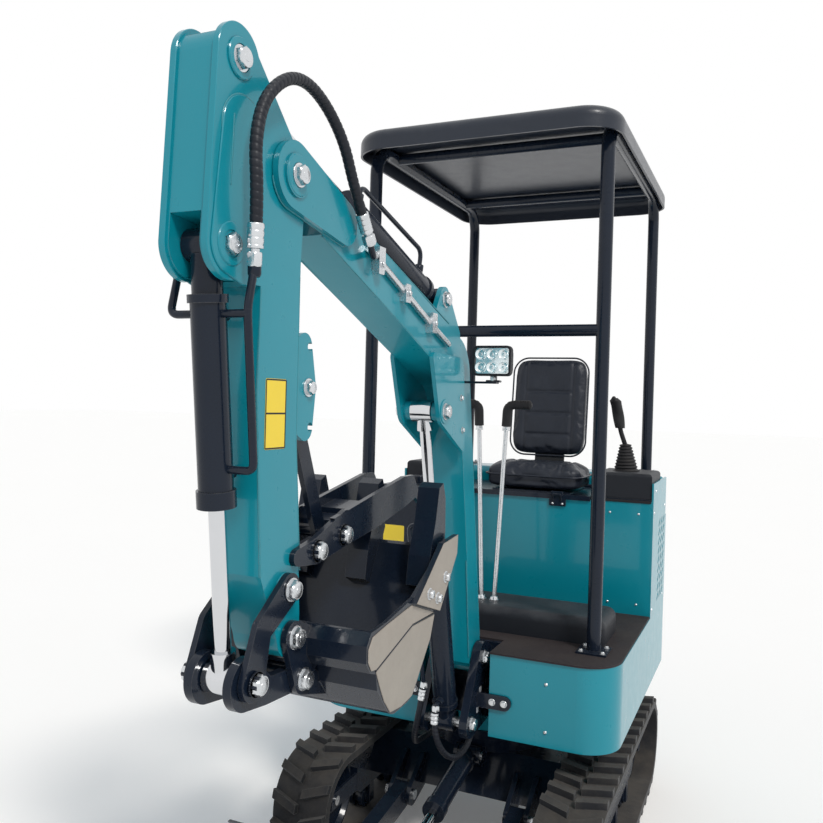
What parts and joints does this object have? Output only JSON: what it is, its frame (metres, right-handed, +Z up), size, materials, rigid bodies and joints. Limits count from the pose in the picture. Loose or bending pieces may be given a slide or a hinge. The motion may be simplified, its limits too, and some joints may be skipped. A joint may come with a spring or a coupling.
{
  "type": "mini excavator",
  "caption": "Compact tracked excavator with open canopy, seat, control levers, short dozer blade and a bent boom with arm, bucket and thumb.",
  "frame": {"origin": "on the ground, under the middle of the whole machine as parked", "axes": "+Z up; -Y is the way the machine faces; +X is the operator's left, so width runs along X and length along Y"},
  "size_m": [0.96, 2.4849, 2.29],
  "materials": {
    "teal_paint": "gloss paint",
    "black_paint": "satin paint",
    "steel_pin": "zinc plated",
    "chrome_rod": "polished",
    "track_rubber": "moulded",
    "mat_rubber": "ribbed",
    "roof_plastic": "moulded",
    "box_plastic": "moulded",
    "seat_vinyl": "vinyl",
    "grip_plastic": "moulded",
    "engine_iron": "rough",
    "hose_rubber": "hose",
    "lamp_housing": "moulded"
  },
  "bodies": {
    "undercarriage": {"track_frame": "black_paint", "frame_pins": "steel_pin", "slew_ring": "black_paint", "track_left": "track_rubber", "track_right": "track_rubber", "idler_wheels": "black_paint", "drive_sprockets": "black_paint", "travel_motors": "black_paint", "track_rollers": "black_paint"},
    "blade": {"dozer_blade": "black_paint"},
    "blade_barrel": {"blade_cylinder_barrel": "black_paint"},
    "blade_rod": {"blade_cylinder_rod": "chrome_rod"},
    "house": {"deck": "teal_paint", "boom_bracket": "black_paint", "bracket_pins": "steel_pin", "floor_mat": "mat_rubber", "lever_box": "box_plastic", "side_tank": "black_paint", "front_panel": "teal_paint", "side_panels": "teal_paint", "counterweight": "teal_paint", "engine": "engine_iron", "top_cover": "black_paint", "consoles": "box_plastic", "joystick_left": "grip_plastic", "joystick_right": "grip_plastic", "travel_levers": "black_paint", "canopy_frame": "black_paint", "canopy_roof": "roof_plastic"},
    "seat": {"seat_lid": "black_paint", "seat_frame": "black_paint", "seat_cushion": "seat_vinyl", "seat_back": "seat_vinyl"},
    "boom": {"boom": "teal_paint", "boom_pins": "steel_pin", "boom_tubes": "steel_pin", "work_lamp": "lamp_housing"},
    "lift_barrel": {"lift_cylinder_barrel": "black_paint"},
    "lift_rod": {"lift_cylinder_rod": "chrome_rod"},
    "arm_barrel": {"arm_cylinder_barrel": "black_paint"},
    "arm_rod": {"arm_cylinder_rod": "chrome_rod"},
    "arm": {"arm": "teal_paint", "arm_pins": "steel_pin", "arm_unions": "steel_pin", "thumb": "black_paint", "thumb_strut": "black_paint", "hose_left": "hose_rubber", "hose_right": "hose_rubber"},
    "rocker": {"rocker_links": "black_paint"},
    "link": {"h_link": "black_paint"},
    "bucket_barrel": {"bucket_cylinder_barrel": "black_paint"},
    "bucket_rod": {"bucket_cylinder_rod": "chrome_rod"},
    "bucket": {"bucket": "black_paint", "bucket_pins": "steel_pin", "bucket_teeth": "black_paint"}
  },
  "joints": [
    {"name": "slew", "type": "hinge", "parent": "undercarriage", "child": "house", "pos_m": [0, 0.4025, 0.372], "axis": [0, 0, 1], "continuous": true},
    {"name": "blade_lift", "type": "hinge", "parent": "undercarriage", "child": "blade", "pos_m": [0, 0.1025, 0.172], "axis": [-1, 0, 0], "range_deg": [-10, 16]},
    {"name": "blade_barrel_tilt", "type": "hinge", "parent": "undercarriage", "child": "blade_barrel", "pos_m": [0, 0.1875, 0.3], "axis": [-1, 0, 0], "range_deg": [-8.31, 13.05]},
    {"name": "blade_rod_slide", "type": "slide", "parent": "blade_barrel", "child": "blade_rod", "axis": [0, -0.9814, -0.1922], "range_m": [-0.03387, 0.02157]},
    {"name": "boom_lift", "type": "hinge", "parent": "house", "child": "boom", "pos_m": [0, 0.0795, 0.648], "axis": [-1, 0, 0], "range_deg": [-40, 16]},
    {"name": "lift_barrel_tilt", "type": "hinge", "parent": "house", "child": "lift_barrel", "pos_m": [0, -0.0225, 0.481], "axis": [-1, 0, 0], "range_deg": [-36.39, 15.15]},
    {"name": "lift_rod_slide", "type": "slide", "parent": "lift_barrel", "child": "lift_rod", "axis": [0, -0.249, 0.9685], "range_m": [-0.11308, 0.04708]},
    {"name": "arm_swing", "type": "hinge", "parent": "boom", "child": "arm", "pos_m": [0, -1.0135, 1.817], "axis": [-1, 0, 0], "range_deg": [-2, 105]},
    {"name": "arm_barrel_tilt", "type": "hinge", "parent": "boom", "child": "arm_barrel", "pos_m": [0, -0.2345, 1.691], "axis": [-1, 0, 0], "range_deg": [-0.25, 6.43]},
    {"name": "arm_rod_slide", "type": "slide", "parent": "arm_barrel", "child": "arm_rod", "axis": [0, -0.9594, 0.282], "range_m": [-0.34285, 0.01325]},
    {"name": "bucket_curl", "type": "hinge", "parent": "arm", "child": "bucket", "pos_m": [0, -0.9795, 0.973], "axis": [-1, 0, 0], "range_deg": [-3, 125]},
    {"name": "rocker_swing", "type": "hinge", "parent": "arm", "child": "rocker", "pos_m": [0, -0.9975, 1.065], "axis": [-1, 0, 0], "range_deg": [-3.28, 75.26]},
    {"name": "link_swing", "type": "hinge", "parent": "rocker", "child": "link", "pos_m": [0, -1.1075, 0.925], "axis": [-1, 0, 0], "range_deg": [-26.79, 1.17]},
    {"name": "bucket_barrel_tilt", "type": "hinge", "parent": "arm", "child": "bucket_barrel", "pos_m": [0, -1.1885, 1.662], "axis": [-1, 0, 0], "range_deg": [-0.2, 4.46]},
    {"name": "bucket_rod_slide", "type": "slide", "parent": "bucket_barrel", "child": "bucket_rod", "axis": [0, 0.1092, -0.994], "range_m": [-0.21047, 0.00917]},
    {"name": "seat_tilt", "type": "hinge", "parent": "house", "child": "seat", "pos_m": [0, 1.0325, 1.094], "axis": [-1, 0, 0], "range_deg": [0, 40]}
  ],
  "couplings": [
    {"joint": "blade_barrel_tilt", "follows": "blade_lift", "ratio": 0.79},
    {"joint": "blade_rod_slide", "follows": "blade_lift", "m_per_rad": -0.11746},
    {"joint": "lift_barrel_tilt", "follows": "boom_lift", "ratio": 0.885},
    {"joint": "lift_rod_slide", "follows": "boom_lift", "m_per_rad": 0.15756},
    {"joint": "arm_barrel_tilt", "follows": "arm_swing", "ratio": 0.06},
    {"joint": "arm_rod_slide", "follows": "arm_swing", "m_per_rad": -0.18335},
    {"joint": "rocker_swing", "follows": "bucket_curl", "ratio": 0.59},
    {"joint": "link_swing", "follows": "bucket_curl", "ratio": -0.21},
    {"joint": "bucket_barrel_tilt", "follows": "bucket_curl", "ratio": 0.035},
    {"joint": "bucket_rod_slide", "follows": "bucket_curl", "m_per_rad": -0.094538}
  ]
}
